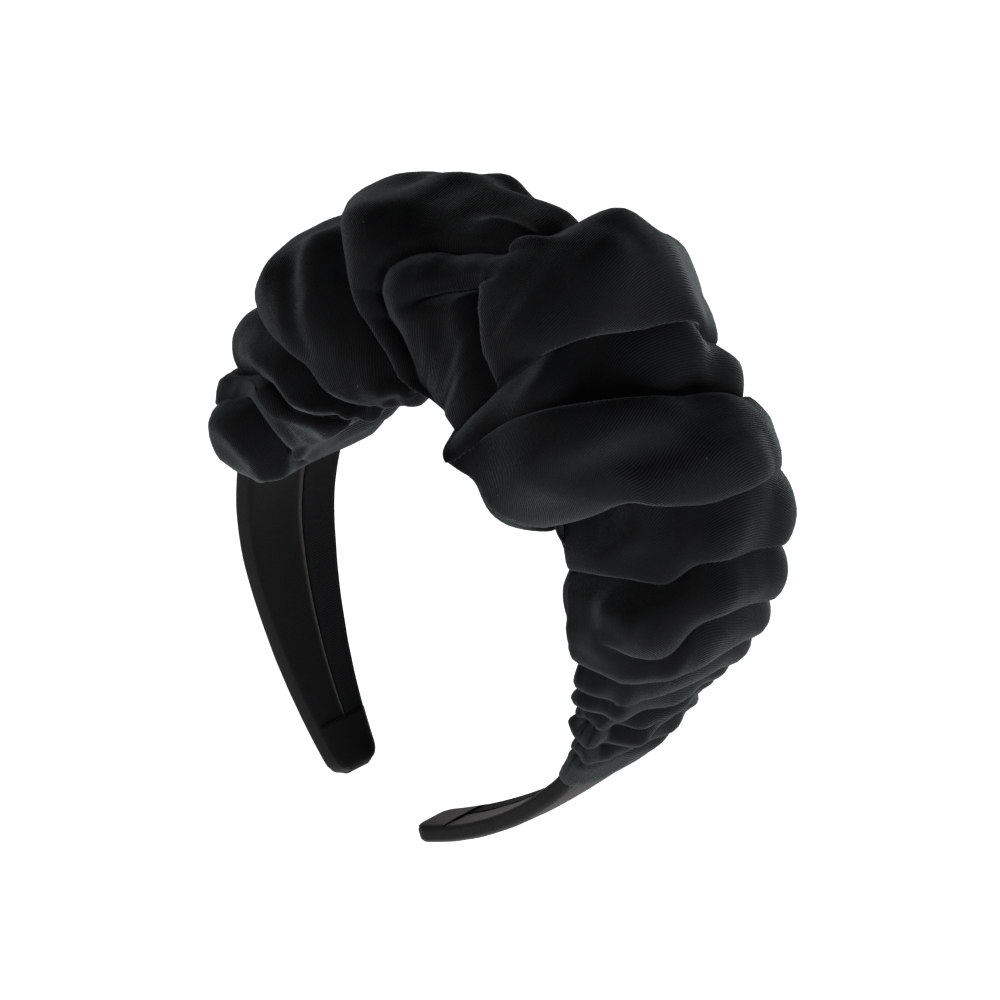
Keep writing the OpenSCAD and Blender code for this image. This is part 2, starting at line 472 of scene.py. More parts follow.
def lapped(x: Array, lip: float, rise: float, curl: float) -> tuple[Array, Array]:
    """The section of a fold whose lip curls under on the side where x is below 0.

    Args:
        x: distance from the fold line.
        lip: length of the curled lip.
        rise: how far the cloth takes to come up again on the other side.
        curl: how far the lip turns under, as a share of half a turn.

    Returns:
        The shift across the fold, and the depth as a share of the whole.
    """
    end = curl * math.pi
    turn = end * np.clip(1 + x / lip, 0, 1)
    fall = (1 - np.clip(x / rise, 0, 1)) ** 2
    before = x < 0
    curled = np.where(x > -lip, lip * (np.sin(turn) - 1) - x, 0)
    shift = np.where(before, curled, lip * (math.sin(end) - 1) * fall)
    return shift, np.where(before, (1 - np.cos(turn)) / (1 - math.cos(end)), fall)


@dataclass(frozen=True)
class Crease:
    """A fold line round the sleeve, where one puff laps over the next, to LEFT or RIGHT.

    Its path is a line of (angle, s) and its depth one of (angle, mm). Angles go round the
    sleeve: 0 at the front edge, 90 on top, 180 at the back edge.
    """

    toward: int
    lip: float
    rise: float
    path: Table
    depth: Table
    curl: float = 0.75
    full_depth: float = 2.5

    def bend(self, s: Array, v: Array) -> tuple[Array, Array]:
        """How the fold moves the cloth.

        Args:
            s: places along the arch.
            v: angles round the sleeve.

        Returns:
            The shift along the arch and the change of height, in mm.
        """
        depth = np.maximum(round_line(v, self.depth), 0)
        x = (s - round_line(v, self.path)) * self.toward
        tuck, height = lapped(x, self.lip, self.rise, self.curl)
        return tuck * np.minimum(depth / self.full_depth, 1) * self.toward, -height * depth


@dataclass(frozen=True)
class Ruck:
    """A short free fold on the sleeve, along a line of (s, angle) points.

    With a lip it laps over the side on its right; without one it is a soft ridge.
    """

    path: Table
    height: float
    width: float
    lip: float = 0.0
    fade: float = 0.25
    curl: float = 0.72
    scale_s: float = 1.4
    scale_v: float = 0.8

    def bend(self, s: Array, v: Array) -> tuple[Array, Array, Array]:
        """How the fold moves the cloth: (shift along the arch, shift in angle, rise)."""
        px, py = s * self.scale_s, v * self.scale_v
        points = [(a * self.scale_s, b * self.scale_v) for a, b in self.path]
        lengths = [math.dist(a, b) for a, b in zip(points, points[1:])]
        total, run = sum(lengths), 0.0
        best = np.full(s.shape, np.inf)
        side, where, gx, gy = (np.zeros(s.shape) for _ in range(4))
        for (ax, ay), (bx, by), length in zip(points, points[1:], lengths):
            dx, dy = (bx - ax) / length, (by - ay) / length
            t = np.clip((px - ax) * dx + (py - ay) * dy, 0, length)
            ox, oy = px - ax - t * dx, py - ay - t * dy
            far = np.hypot(ox, oy)
            sign = np.where(dx * oy - dy * ox < 0, 1.0, -1.0)
            closer = far < best
            best = np.where(closer, far, best)
            side = np.where(closer, sign, side)
            where = np.where(closer, (run + t) / total, where)
            gx = np.where(closer, dy, gx)
            gy = np.where(closer, -dx, gy)
            run += length
        fade = eased(where, 0, self.fade) * eased(1 - where, 0, self.fade)
        x = best * side
        if self.lip == 0:
            return 0 * x, 0 * x, self.height * fade * np.exp(-((best / self.width) ** 2))
        tuck, height = lapped(x, self.lip, self.width, self.curl)
        tuck = tuck * fade
        return tuck * gx / self.scale_s, tuck * gy / self.scale_v, -self.height * fade * height


@dataclass(frozen=True)
class Push:
    """A soft bulge or dent, pushed from one spot by (outwards, forwards, down) mm."""

    s: float
    v: float
    reach_s: float
    reach_v: float
    way: Triple

    def bend(self, s: Array, v: Array) -> Array:
        """How strongly it moves the cloth, from 0 to 1."""
        far_s, far_v = (s - self.s) / self.reach_s, (v - self.v) / self.reach_v
        return np.exp(-(np.abs(far_s) ** 2.0 + np.abs(far_v) ** 2.0))


# The fold lines that go round the sleeve, from its left hem to its right one
CREASES = (
    Crease(
        LEFT, 4.5, 9,
        ((-88, -83), (-40, -76), (-2, -71), (20, -79), (48, -87), (90, -91), (140, -91),
         (200, -88)),
        ((-88, 3), (-40, 5), (0, 5), (20, 3.5), (48, 2.5), (90, 3), (180, 2.5)),
    ),
    Crease(
        RIGHT, 5, 8,
        ((-60, -38), (-24, -42), (-11, -50), (-3, -59), (13, -68), (38, -76), (60, -79),
         (90, -79), (130, -76), (180, -70), (240, -56)),
        ((-75, 1.2), (-45, 6), (0, 6), (16, 8), (48, 7), (90, 5), (130, 4), (180, 4), (240, 0.8)),
    ),
    Crease(
        LEFT, 5.5, 8,
        ((-60, -24), (-24, -29), (-11, -37), (0, -48), (16, -55), (47, -60), (90, -62),
         (130, -61), (180, -55), (240, -42)),
        ((-75, 1), (-45, 5), (-22, 5), (8, 5.5), (36, 5.5), (54, 4.5), (90, 4), (130, 4),
         (180, 4), (240, 0.8)),
    ),
    Crease(
        LEFT, 7, 13,
        ((-60, -4), (-14, -9), (-5, -15), (5, -24), (14, -29), (29, -32), (50, -34), (66, -38),
         (90, -43), (130, -43), (180, -37), (240, -16)),
        ((-75, 1), (-45, 5), (0, 5.5), (28, 8.5), (54, 8.5), (90, 6.5), (180, 5), (240, 0.8)),
    ),
    Crease(
        RIGHT, 6, 9,
        ((-60, 4), (-10, 1), (30, -4), (50, -3), (70, -2), (84, -2), (98, -4), (130, -6),
         (180, -6), (240, 0)),
        ((-60, 0.3), (0, 0), (50, 0), (62, 1.5), (72, 5), (110, 7), (180, 4), (240, 0.6)),
    ),
    Crease(
        RIGHT, 6, 5,
        ((-60, 7), (0, 9), (16, 10.5), (30, 13), (48, 16), (74, 19), (104, 22), (128, 24),
         (180, 22), (240, 12)),
        ((-60, 0.8), (0, 5), (16, 8), (40, 8.5), (60, 7.5), (90, 6), (130, 5), (180, 4),
         (240, 0.8)),
    ),
    Crease(
        LEFT, 4.5, 5,
        ((-60, 15), (6, 16), (22, 19.5), (42, 23.5), (72, 28.5), (92, 31), (108, 33), (140, 34),
         (180, 32), (240, 21)),
        ((-60, 0.6), (0, 2), (42, 3.5), (72, 5), (108, 7), (140, 5), (180, 4), (240, 0.8)),
    ),
    Crease(
        RIGHT, 6.5, 8,
        ((-60, 42), (0, 44), (16, 44), (35, 42.5), (48, 45.5), (60, 47), (81, 47), (126, 47.5),
         (180, 48), (240, 43)),
        ((-60, 2), (0, 9), (30, 8.5), (50, 7), (70, 4.5), (90, 3.5), (130, 4), (180, 4), (240, 1)),
    ),
    Crease(
        RIGHT, 5, 7,
        ((-60, 51), (2, 53), (14, 55), (42, 58), (56, 56.5), (72, 57), (106, 59), (180, 60),
         (240, 53)),
        ((-60, 1.5), (0, 7), (40, 7), (60, 6), (90, 5), (130, 4), (180, 4), (240, 0.8)),
    ),
    Crease(
        RIGHT, 3.6, 4.5,
        ((-60, 66), (10, 68), (34, 72), (54, 71.4), (65, 67.5), (80, 67), (101, 69), (180, 69),
         (240, 66)),
        ((-60, 0.4), (10, 0), (32, 3), (50, 5.5), (92, 5.5), (130, 4), (180, 3), (240, 0.5)),
    ),
    Crease(
        RIGHT, 3.6, 5.5,
        ((-60, 75), (0, 77.5), (28, 80), (64, 78.5), (94, 78), (130, 77), (180, 76.5), (240, 75)),
        ((-60, 1.2), (0, 6), (44, 6), (90, 5.5), (180, 4), (240, 0.8)),
    ),
    Crease(
        RIGHT, 3, 4,
        ((-60, 82.5), (0, 85), (36, 86.5), (68, 85), (84, 84.5), (130, 83.5), (180, 83),
         (240, 82.5)),
        ((-60, 1), (0, 4), (20, 3), (36, 1.5), (60, 2.5), (84, 3.5), (130, 3), (180, 2.5),
         (240, 0.6)),
    ),
    Crease(
        RIGHT, 3.2, 4.5,
        ((-60, 88.5), (0, 91), (30, 92.5), (80, 91), (130, 89.5), (180, 89.5), (240, 88.5)),
        ((-60, 1), (0, 4.5), (40, 4.5), (90, 4), (180, 3), (240, 0.6)),
    ),
    Crease(
        RIGHT, 2.6, 3.2,
        ((-60, 94.5), (0, 96), (30, 97.5), (62, 96.5), (130, 94), (180, 94), (240, 94)),
        ((-60, 0.8), (0, 3), (40, 3.2), (90, 2.8), (180, 2), (240, 0.5)),
    ),
    Crease(
        RIGHT, 2.2, 2.8,
        ((-60, 101), (0, 102.5), (28, 103), (62, 101.5), (130, 99.5), (180, 99.5), (240, 100.5)),
        ((-60, 0.7), (0, 2.4), (40, 2.4), (90, 2.2), (180, 1.6), (240, 0.5)),
    ),
    Crease(
        RIGHT, 1.8, 2.4,
        ((-60, 106), (0, 108), (28, 108.5), (62, 107), (130, 105.5), (180, 105), (240, 106)),
        ((-60, 0.6), (0, 1.8), (40, 1.8), (90, 1.6), (180, 1.2), (240, 0.4)),
    ),
)

# The short free folds, most of them round the hollow in front of the crown
RUCKS = (
    Ruck(
        ((0, -4), (-12, -1), (-18, 7), (-22, 14), (-24, 25), (-23, 36), (-20, 47), (-16, 57),
         (-8, 62), (4, 62)),
        6, 13, lip=4, fade=0.28,
    ),
    Ruck(
        ((-18, 17), (-14, 28), (-10, 36), (-5, 43), (-2.5, 30), (1.5, 21), (5, 14), (11, 5)),
        7, 8, lip=4, fade=0.2,
    ),
    Ruck(((-12, 78), (-6, 75), (4, 64)), 2.5, 3.5),
    Ruck(((8, 88), (12, 72), (15, 58), (15, 40), (13, 20)), 3.5, 6),
    Ruck(((10, 8), (17, 35), (23, 70), (28, 105), (30, 140)), -5, 6),
    Ruck(((27, -5), (29, 20), (30, 40), (31, 62), (32, 95)), 3, 6),
    Ruck(((32, 15), (35, 38), (36, 54), (38, 79)), -3, 4.5),
    Ruck(((40, 20), (41, 50), (42, 80), (42, 105)), 3.5, 6),
    Ruck(((49, -8), (50, 12), (48.5, 24), (47, 36)), 2.5, 4),
    Ruck(((-46, -10), (-45, 25), (-47, 55)), -2, 4),
    Ruck(((-40, 10), (-41, 45), (-44, 70)), 2, 5),
    Ruck(((-31, 95), (-30, 60), (-27, 30)), 1.5, 7),
    Ruck(((60, 8), (62, 24), (66, 36)), 2.4, 4.5),
    Ruck(((-68, 40), (-62, 15), (-54, -5), (-42, -18)), 2.5, 5),
    Ruck(((-88, -45), (-84, 0), (-86, 40)), 2, 5),
)

# The bulges and the dent that the folds alone don't give
PUSHES = (
    Push(-5, 15, 7, 12, (-3.5, 0, 0)),
    Push(14, -6, 5, 12, (3, 6, 0)),
    Push(-24, 132, 5, 12, (4, 0, 0)),
    Push(30, -4, 8, 20, (2, 1, 0)),
)

# How full the sleeve is: (s, rise on top, overhang in front, overhang behind, sag), in mm
FULLNESS = (
    (-101, 1.2, 1.2, 0.8, 1.5),
    (-97, 5.5, 8.5, 4, 9),
    (-92, 11, 12.5, 5.5, 13),
    (-84, 13, 12, 6, 17),
    (-76, 18, 11, 6.5, 20),
    (-66, 23.5, 10.5, 8, 22),
    (-50, 33, 11, 11, 23),
    (-34, 38.5, 10.5, 12, 19),
    (-20, 38.5, 9, 10, 11),
    (-8, 39.5, 9, 10.5, 4),
    (0, 46, 10, 15, 1.5),
    (6, 51.5, 11.5, 18, 1.5),
    (12, 51, 14, 18, 1.5),
    (18, 45.5, 16.5, 15.5, 2),
    (28, 42.5, 18, 15, 2),
    (35, 42, 14.5, 14, 2),
    (42, 42.5, 8, 14, 1),
    (48, 41, 4.5, 13.5, 0.5),
    (56, 37.5, 6, 11, 0.5),
    (66, 34, 10, 9.5, 1),
    (76, 26, 9, 6.8, 1),
    (84, 15.5, 6, 4.8, 1),
    (95, 10, 3.6, 4.2, 0.5),
    (104, 6.6, 3.2, 4.6, 0.3),
    (111, 4.2, 2.6, 2.8, 0),
    (117, 3.4, 2.2, 2.2, 0),
    (121, 1.9, 1, 1, 0),
)

# The cloth's ripples: (height, length along the arch, length round it in degrees, noise layer)
RIPPLES = ((3.6, 15, 34, 3.1), (1.8, 7.0, 24, 7.7), (0.5, 2.6, 20, 1.3))


@dataclass(frozen=True)
class Sleeve:
    """The ruched, stuffed velvet sleeve, as a tube round the band.

    Its hems are lines of (angle round the sleeve, s). Places are in mm and degrees.
    """

    left_hem: Table = ((-90, -97), (0, -98.5), (60, -99), (120, -98.5), (180, -98), (230, -97))
    right_hem: Table = ((-90, 118), (0, 120), (90, 119), (180, 118))
    columns: int = 280
    row_pitch: float = 0.72
    least_gap: float = 0.4
    channel_rows: int = 24
    channel_gap: float = 0.9
    waist: float = 1.5
    underside: float = 2.0
    top_power: float = 0.8
    low_power: float = 0.5
    channel_power: float = 0.16
    held: float = 0.12
    soft_passes: int = 2

    def envelope(self, s: Array, v: Array) -> Array:
        """Points of the sleeve's shape before its folds, in mm."""
        xs, *shares = zip(*FULLNESS)
        rise, front, back, sag = (smooth_line(s, xs, share) for share in shares)
        w = ARCH.half_width(s) + LAYERS.velvet
        a = np.radians(180 - v)
        sn, cs = np.sin(a), np.cos(a)
        e = np.where(sn >= 0, self.top_power, self.low_power)
        y0, y1 = -w - front, w + back
        y = (y0 + y1) / 2 + (y1 - y0) / 2 * np.sign(cs) * np.abs(cs) ** e
        top = LAYERS.cover + rise - self.waist
        behind = 0.08 + 0.62 * eased(-s, 55, 85)  # the back's share of the sag
        share = behind + (1 - behind) * np.clip(-cs, 0, 1) ** 0.7
        under = self.waist + self.underside + sag * share
        n = self.waist + np.where(sn >= 0, top, under) * np.sign(sn) * np.abs(sn) ** e
        return ARCH.place(s, y, n)

    def outwards(self, s: Array, v: Array) -> Array:
        """The way out from the sleeve's shape before its folds, of length 1."""
        step_s, step_v = 0.6, 1.0
        ds = self.envelope(s + step_s, v) - self.envelope(s - step_s, v)
        dv = self.envelope(s, v + step_v) - self.envelope(s, v - step_v)
        out = np.cross(ds, dv)
        return out / np.maximum(np.linalg.norm(out, axis=-1, keepdims=True), 1e-9)

    def looseness(self, v: Array) -> Array:
        """How free the cloth is: 1 outside the arch, and little where the band holds it."""
        free = eased(v, -95, -45) * (1 - eased(v, 195, 275))
        return self.held + (1 - self.held) * free

    def folded(self, s: Array, v: Array) -> Array:
        """Points of the folded cloth, in mm."""
        loose = self.looseness(v)
        ends = eased(s, -101, -94) * (1 - eased(s, 112, 120))
        shift, turn, height = np.zeros(s.shape), np.zeros(s.shape), np.zeros(s.shape)
        for fold in CREASES:
            along, up = fold.bend(s, v)
            shift, height = shift + along, height + up
        for ruck in RUCKS:
            along, round_way, up = ruck.bend(s, v)
            shift, turn, height = shift + along, turn + round_way, height + up
        forwards, down = np.zeros(s.shape), np.zeros(s.shape)
        for push in PUSHES:
            near, way = push.bend(s, v), push.way
            height, forwards = height + near * way[0], forwards + near * way[1]
            down = down + near * way[2]
        shift, height = shift * loose * ends, height * loose * ends
        s2, v2 = s + shift, v + turn * loose
        points = self.envelope(s2, v2) + self.outwards(s2, v2) * height[..., None]
        points[..., 1] -= forwards
        points[..., 2] -= down
        return points

    def stations(self, v: Array) -> Array:
        """Places along the arch of the cloth's rows, close together at each fold line.

        Args:
            v: the angles of the columns.

        Returns:
            An array of rows and columns.
        """
        knots = [round_line(v, self.left_hem)]
        for fold in CREASES:
            path = round_line(v, fold.path)
            knots += [path, path - fold.lip * fold.toward][::-fold.toward]
        knots.append(round_line(v, self.right_hem))
        rows = [knots[0]]
        for a, b in zip(knots, knots[1:]):
            b = np.maximum(b, a + self.least_gap)
            count = max(4, round(float(np.median(b - a)) / self.row_pitch))
            rows += [a + (b - a) * (i + 1) / count for i in range(count)]
        return np.array(rows)

    def angles(self) -> Array:
        """The columns' angles round the sleeve, closer together where the cloth shows."""
        t = np.linspace(0, 1, self.columns + 1)
        return np.interp(t, [0, 0.09, 0.93, 1], [-90, -35, 215, 270])

    def rows(self) -> Array:
        """The sleeve's outer points, in mm, as rows and columns."""
        angles = self.angles()
        s = self.stations(angles)
        v = np.broadcast_to(angles, s.shape).copy()
        points = self.folded(s, v)
        out = self.outwards(s, v)
        slack = self.looseness(v) * eased(s, -102, -90) * (1 - eased(s, 100, 118))
        ripple = np.zeros(s.shape)
        for spot in np.ndindex(s.shape):
            a, b = s[spot], v[spot]
            ripple[spot] = sum(
                height * noise.noise(Vector((a / length, b / turn, layer)))
                for height, length, turn, layer in RIPPLES
            )
        points += out * (ripple * slack)[..., None]
        points[:, -1] = points[:, 0]
        return soften(points, self.soft_passes)

    def channel(self) -> Array:
        """The sleeve's inner points, back along the band from its right hem to its left one."""
        angles = self.angles()
        start, stop = round_line(angles, self.right_hem), round_line(angles, self.left_hem)
        t = (np.arange(self.channel_rows) + 0.5)[:, None] / self.channel_rows
        s = start + (stop - start) * t
        a = np.radians(180 - angles)
        half = ARCH.half_width(s) + LAYERS.velvet + self.channel_gap
        low, high = -LAYERS.velvet - self.channel_gap, LAYERS.cover + self.channel_gap
        cs, sn, e = np.cos(a), np.sin(a), self.channel_power
        y = half * np.sign(cs) * np.abs(cs) ** e
        n = (low + high) / 2 + (high - low) / 2 * np.sign(sn) * np.abs(sn) ** e
        inner = ARCH.place(s, y, n)
        inner[:, -1] = inner[:, 0]
        return inner

    def build(self, outer: Array, velvet: Material) -> Piece:
        """The stuffed sleeve, as one piece, from its outer points."""
        points = np.concatenate([outer, self.channel(), outer[:1]])
        middle = int(np.abs(self.stations(self.angles())[:, 0]).argmin())
        u, v = flat_map(points, middle)
        piece = cloth_piece("sleeve", points, velvet, (even_round(u), v), closed=True)
        face_outwards(piece)
        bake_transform(piece)
        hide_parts("sleeve_left", "sleeve_right", "wadding_left", "wadding_right")
        return piece


@dataclass(frozen=True)
class Fibres:
    """Loose fibres on the sleeve: the pile's fuzz, or lint that lies on it."""

    name: str
    count: int
    shortest: float
    longest: float
    width: float
    lean: float
    seed: int
    rooted: float = 0.05
    least_rise: float = 0.15

    def build(self, cloth: Array, finish: Material) -> Piece:
        """The fibres, each a thin three-sided spike, as one piece.

        Args:
            cloth: the sleeve's outer points, in mm, as rows and columns.
            finish: the fibres' material.

        Returns:
            The piece.
        """
        rng = np.random.default_rng(self.seed)
        ring = cloth[:, :-1]
        along = ring[2:] - ring[:-2]
        across = (np.roll(ring, -1, axis=1) - np.roll(ring, 1, axis=1))[1:-1]
        out = np.cross(along, across).reshape(-1, 3)
        area = np.linalg.norm(out, axis=1)
        spot = rng.choice(len(area), self.count, p=area / area.sum())
        out = out[spot] / area[spot, None]
        root = ring[1:-1].reshape(-1, 3)[spot] - out * self.rooted
        way = out + rng.normal(0, self.lean, out.shape)
        way += out * np.maximum(self.least_rise - (way * out).sum(1), 0)[:, None]
        way /= np.linalg.norm(way, axis=1, keepdims=True)
        tip = root + way * rng.uniform(self.shortest, self.longest, (self.count, 1))
        first = np.cross(way, rng.normal(0, 1, way.shape))
        first /= np.linalg.norm(first, axis=1, keepdims=True)
        second = np.cross(way, first)
        corners = [
            root + (first * math.cos(a) + second * math.sin(a)) * self.width / 2
            for a in (0, 2 * math.pi / 3, 4 * math.pi / 3)
        ]
        points = np.stack([*corners, tip], axis=1).reshape(-1, 3) * MM
        faces = [
            [base + i for i in face]
            for base in range(0, 4 * self.count, 4)
            for face in ((0, 2, 1), (0, 1, 3), (1, 2, 3), (2, 0, 3))
        ]
        mesh = bpy.data.meshes.new(self.name)
        mesh.from_pydata(points.tolist(), [], faces)
        mesh.materials.append(finish)
        piece = add_to_scene(self.name, mesh)
        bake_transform(piece)
        return piece


FUZZ = Fibres(
    "sleeve_fuzz", count=16000, shortest=0.3, longest=0.85, width=0.055, lean=0.55, seed=11
)
LINT = Fibres("sleeve_lint", count=70, shortest=0.5, longest=1.4, width=0.1, lean=3.0, seed=5)


def soften(points: Array, passes: int) -> Array:
    """Smooths a tube of points a little, all but its first and last rows."""
    made = points.copy()
    for _ in range(passes):
        ring = made[:, :-1]
        beside = (np.roll(ring, 1, axis=1) + np.roll(ring, -1, axis=1)) / 2
        next_to = ring.copy()
        next_to[1:-1] = (ring[:-2] + ring[2:]) / 2
        ring = ring * 0.5 + beside * 0.25 + next_to * 0.25
        made[1:-1, :-1] = ring[1:-1]
        made[:, -1] = made[:, 0]
    return made


def even_round(u: Array) -> Array:
    """Evens out a map round the sleeve, so that the pile's ribs run round it in smooth lines."""
    reach = 16
    ring = u[:, :-1]
    total, weights = np.zeros(ring.shape), 0.0
    for step in range(-2 * reach, 2 * reach + 1):
        weight = math.exp(-((step / reach) ** 2))
        total, weights = total + np.roll(ring, step, axis=1) * weight, weights + weight
    return np.concatenate([total / weights, total[:, :1] / weights], axis=1)


def face_outwards(piece: Piece) -> None:
    """Turns a piece's faces over if most of them look towards its middle line."""
    faces = piece.data.polygons
    centres = np.array([face.center[:] for face in faces])
    normals = np.array([face.normal[:] for face in faces])
    areas = np.array([face.area for face in faces])
    if float((((centres - ARCH_MIDDLE) * normals).sum(1) * areas).sum()) < 0:
        piece.data.flip_normals()


# Band


@dataclass(frozen=True)
class Band:
    """The padded hoop, its velvet cover, its lining and the tabs at its tips.

    Each layer is a crown length and two legs that start at crown_reach. The hidden hoop
    and foam are a little narrower and thinner than their layers.
    """

    lap_at_crown: float = 5.0
    lap_at_tip: float = 0.5
    lap_lift: float = 0.25
    crown_reach: float = 84.0
    joint_overlap: float = 3.0
    tab_length: float = 14.0
    tab_bend: float = 1.2
    outer_corner: float = 1.3
    inner_corner: float = 0.8
    pile: float = 0.45
    left_loft: float = 1.6
    camber: float = 0.6
    waviness: float = 0.12
    blunt: float = 3.4
    overhang: float = 2.6
    groove: float = 0.35
    lining_height: float = -0.42
    row_pitch: float = 1.6
    hidden_width: float = 0.985
    hidden_depth: float = 0.96

    @property
    def end(self) -> float:
        """Where the cover ends, past the hoop's own tip."""
        return ARCH.leg_end + self.overhang

    def loft(self, s: float) -> float:
        """How much the pile and the padding add to the outer face at s."""
        return self.pile + self.left_loft * float(eased(np.array(-s), 70, 92))

    def nosed(self, s: Array, n: Array) -> Array:
        """Heights at s, drawn in towards the band's middle at its very tip."""
        middle = LAYERS.outer / 2
        over = np.clip((np.abs(s) - (self.end - self.blunt)) / (self.blunt + 1.2), 0, 0.98)
        return middle + (n - middle) * np.sqrt(1 - over**2)

    def lap(self, s: Array) -> Array:
        """Where the cover's lapped edge runs, across the band."""
        places = [0, ARCH.taper_start, self.end]
        return np.interp(np.abs(s), places, [self.lap_at_crown, self.lap_at_crown, self.lap_at_tip])

    def end_width(self, s: Array) -> Array:
        """The band's half width at s, with its rounded tip."""
        r = ARCH.tip_corner
        over = np.clip((np.abs(s) - (self.end - r)) / r, 0, 1)
        return ARCH.half_width(s) - r * (1 - np.sqrt(1 - np.minimum(over, 0.97) ** 2))

    def cover_section(self, s: float) -> Array:
        """Points (y, n) of the cover's line round the band at s, from its lapped edge on."""
        t, r, q = LAYERS.velvet / 2, self.outer_corner, self.inner_corner
        w = float(self.end_width(np.array(s))) + t + self.pile
        low, high = -t, LAYERS.outer + t + self.loft(s)
        lap = float(self.lap(np.array(s)))
        quarter = math.pi / 2
        points = [(lap + (-w + q - lap) * i / 8, low) for i in range(8)]
        points[0] = (lap, low + self.lap_lift)
        for a in np.linspace(0, quarter, 6):
            points.append((-w + q - q * math.sin(a), low + q - q * math.cos(a)))
        for a in np.linspace(0, quarter, 8):
            points.append((-w + r - r * math.cos(a), high - r + r * math.sin(a)))
        for i in range(1, 12):
            y = -w + r + (2 * w - 2 * r) * i / 12
            points.append((y, high + self.camber * (1 - (y / w) ** 2)))
        for a in np.linspace(0, quarter, 8):
            points.append((w - r + r * math.sin(a), high - r + r * math.cos(a)))
        for a in np.linspace(0, 1.3, 5):
            points.append((w - q + q * math.cos(a), low + q - q * math.sin(a)))
        return np.array(points)

    def cover_part(self, name: str, s0: float, s1: float, velvet: Material) -> Piece:
        """A length of the cover, from s0 to s1."""
        steps = max(8, round(abs(s1 - s0) / self.row_pitch))
        s = np.linspace(s0, s1, steps + 1)
        rows = []
        for station in s:
            line = self.cover_section(float(station))
            wave = [noise.noise(Vector((station / 7, y / 5, n / 5))) for y, n in line]
            spot = np.full(len(line), station)
            n = line[:, 1] + self.waviness * np.array(wave)
            rows.append(ARCH.place(spot, line[:, 0], self.nosed(spot, n)))
        piece = cloth_piece(name, np.array(rows), velvet)
        face_outwards(piece)
        thicken(piece, LAYERS.velvet)
        return piece

    def lining_part(self, name: str, s0: float, s1: float, ribbon: Material) -> Piece:
        """A length of the ribbed lining, from s0 to s1."""
        steps = max(8, round(abs(s1 - s0) / 2.0))
        s = np.linspace(s0, s1, steps + 1)
        across = np.linspace(0, 1, 15)
        start, stop = self.lap(s) + self.groove, self.end_width(s) - 0.1
        y = start[:, None] + (stop - start)[:, None] * across
        spot = np.broadcast_to(s[:, None], y.shape)
        n = self.nosed(spot, np.full(y.shape, self.lining_height))
        piece = cloth_piece(name, ARCH.place(spot, y, n), ribbon)
        thicken(piece, LAYERS.lining)
        return piece

    def tab(self, name: str, side: int, velvet: Material) -> Piece:
        """The velvet tab folded round one tip and onto the band's inside."""
        end, t = self.end, LAYERS.velvet
        low, high = -1.3 * t, LAYERS.outer + t / 2 + self.loft(side * self.end)
        bend, flat = (high - low) / 2, self.tab_length - self.tab_bend
        line = [(end - self.tab_length + flat * i / 14, low) for i in range(15)]
        for a in np.linspace(0, math.pi, 13)[1:]:
            line.append((end - self.tab_bend + 1.9 * math.sin(a), low + bend - bend * math.cos(a)))
        line.append((end - 3.0, high - 0.1))
        across = np.linspace(-1, 1, 17)
        edge = 0.5 * np.abs(across) ** 6
        rows = []
        for s, n in line:
            w = float(self.end_width(np.array(min(s, end)))) + 0.6
            spot = np.full(len(across), s * side)
            turned_in = n + edge * (1 if n < bend + low else -1)
            rows.append(ARCH.place(spot, across * w, self.nosed(spot * 0.995, turned_in)))
        piece = cloth_piece(name, np.array(rows), velvet)
        face_outwards(piece)
        thicken(piece, t)
        return piece

    def build(
        self, velvet: Material, ribbon: Material, plastic: Material, foam: Material
    ) -> list[Piece]:
        """All of the band's pieces."""
        reach, end = self.crown_reach, self.end
        past = reach + self.joint_overlap
        crown = self.cover_part("cover_crown", -past, past, velvet)
        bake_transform(crown)
        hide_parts("cover_left", "cover_right")
        lining = self.lining_part("lining_crown", -past, past, ribbon)
        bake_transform(lining)
        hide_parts("lining_left", "lining_right")
        made = [crown, lining]
        for side, body, word in SIDES:
            leg = self.cover_part(f"cover_leg_{word}", side * reach, side * (end + 0.2), velvet)
            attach(leg, body.value)
            inner = self.lining_part(f"lining_leg_{word}", side * reach, side * (end - 0.5), ribbon)
            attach(inner, body.value)
            tab = self.tab(f"tip_tab_velvet_{word}", side, velvet)
            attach(tab, body.value)
            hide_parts(f"tip_tab_{word}")
            made += [leg, inner, tab]
        tip = ARCH.leg_end - 0.4
        foam_low = LAYERS.lining + LAYERS.core
        for stem, low, high, cad, slot, finish in (
            ("hoop", LAYERS.lining, foam_low, "core", Slot.HOOP, plastic),
            ("foam", foam_low, LAYERS.outer, "foam", Slot.FOAM, foam),
        ):
            crown = self.strip(f"{stem}_crown", low, high, -reach, reach, finish)
            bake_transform(crown)
            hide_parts(f"{cad}_left", f"{cad}_right")
            parts = [crown]
            for side, body, word in SIDES:
                leg = self.strip(f"{stem}_leg_{word}", low, high, side * reach, side * tip, finish)
                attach(leg, body.value)
                parts.append(leg)
            made += parts
        return made

    def strip(
        self, name: str, low: float, high: float, s0: float, s1: float, finish: Material
    ) -> Piece:
        """A strip of the hoop's own outline from s0 to s1, from height low to height high."""
        s = np.linspace(s0, s1, max(24, round(abs(s1 - s0) / self.row_pitch)) + 1)
        y = self.end_width(s)[:, None] * np.linspace(-1, 1, 13) * self.hidden_width
        spot = np.broadcast_to(s[:, None], y.shape)
        n = self.nosed(spot, np.full(y.shape, (low + high) / 2))
        piece = cloth_piece(name, ARCH.place(spot, y, n), finish)
        thicken(piece, (high - low) * self.hidden_depth)
        return piece


# Studio


